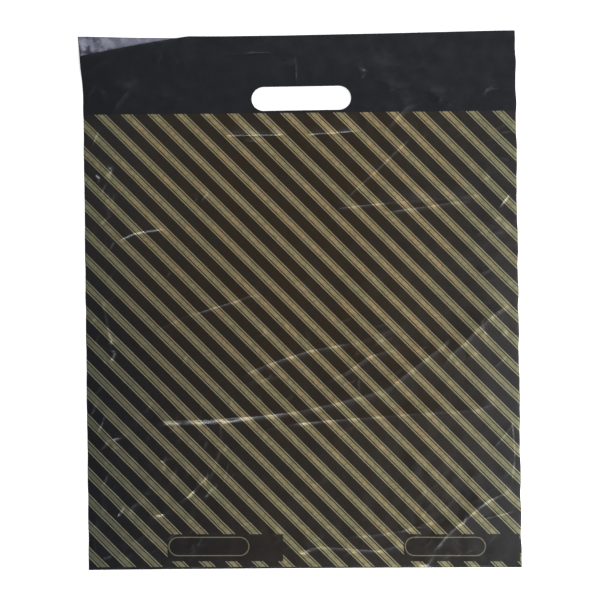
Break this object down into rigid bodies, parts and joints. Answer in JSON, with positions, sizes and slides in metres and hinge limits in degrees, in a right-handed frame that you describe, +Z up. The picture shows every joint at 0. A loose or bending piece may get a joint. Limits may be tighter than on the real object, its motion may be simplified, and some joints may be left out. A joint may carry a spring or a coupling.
{
  "type": "plastic carrier bag",
  "caption": "Flat carrier bag of thin black film with a gold diagonal stripe print, welded sides, an open mouth and a punched hand slot, lying creased on its back.",
  "frame": {"origin": "on the surface that the bag lies on, under the middle of the bag", "axes": "+Z up out of the printed front, +Y towards the mouth, +X to the right of the front"},
  "size_m": [0.4045, 0.4972, 0.0048],
  "materials": {
    "film": "black polyethylene film, soft gloss, printed with gold diagonal stripes",
    "patch": "black polyethylene film, unprinted"
  },
  "bodies": {
    "root": {"bag_film": "film", "front_handle_patch": "patch", "back_handle_patch": "patch"}
  },
  "joints": []
}
